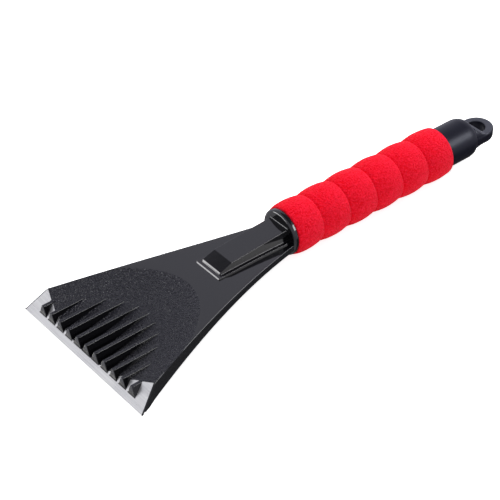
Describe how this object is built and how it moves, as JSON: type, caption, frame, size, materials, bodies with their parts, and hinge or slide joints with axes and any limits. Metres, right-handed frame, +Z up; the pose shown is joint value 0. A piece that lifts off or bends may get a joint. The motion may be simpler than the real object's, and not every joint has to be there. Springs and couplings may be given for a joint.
{
  "type": "windshield ice scraper",
  "caption": "Hand ice scraper: flared moulded head with a metal blade and chipper ribs, a ridged foam grip and a hanging loop.",
  "frame": {"origin": "bottom centre of the bounding box, on the table that the scraper rests on", "axes": "+X along the handle from the blade's edge to the hanging loop, +Y across the head, +Z up out of the ribbed face"},
  "size_m": [0.2846, 0.1, 0.03],
  "materials": {
    "head_plastic": "glossy black, grained between the ribs",
    "blade_metal": "bright, finely ground along the edge",
    "tube_metal": "plain drawn tube, hidden",
    "grip_foam": "matt red closed-cell foam",
    "cap_plastic": "satin black"
  },
  "bodies": {
    "root": {"scraper_head": "head_plastic", "blade": "blade_metal", "handle_tube": "tube_metal", "foam_grip": "grip_foam", "end_cap": "cap_plastic"}
  },
  "joints": []
}
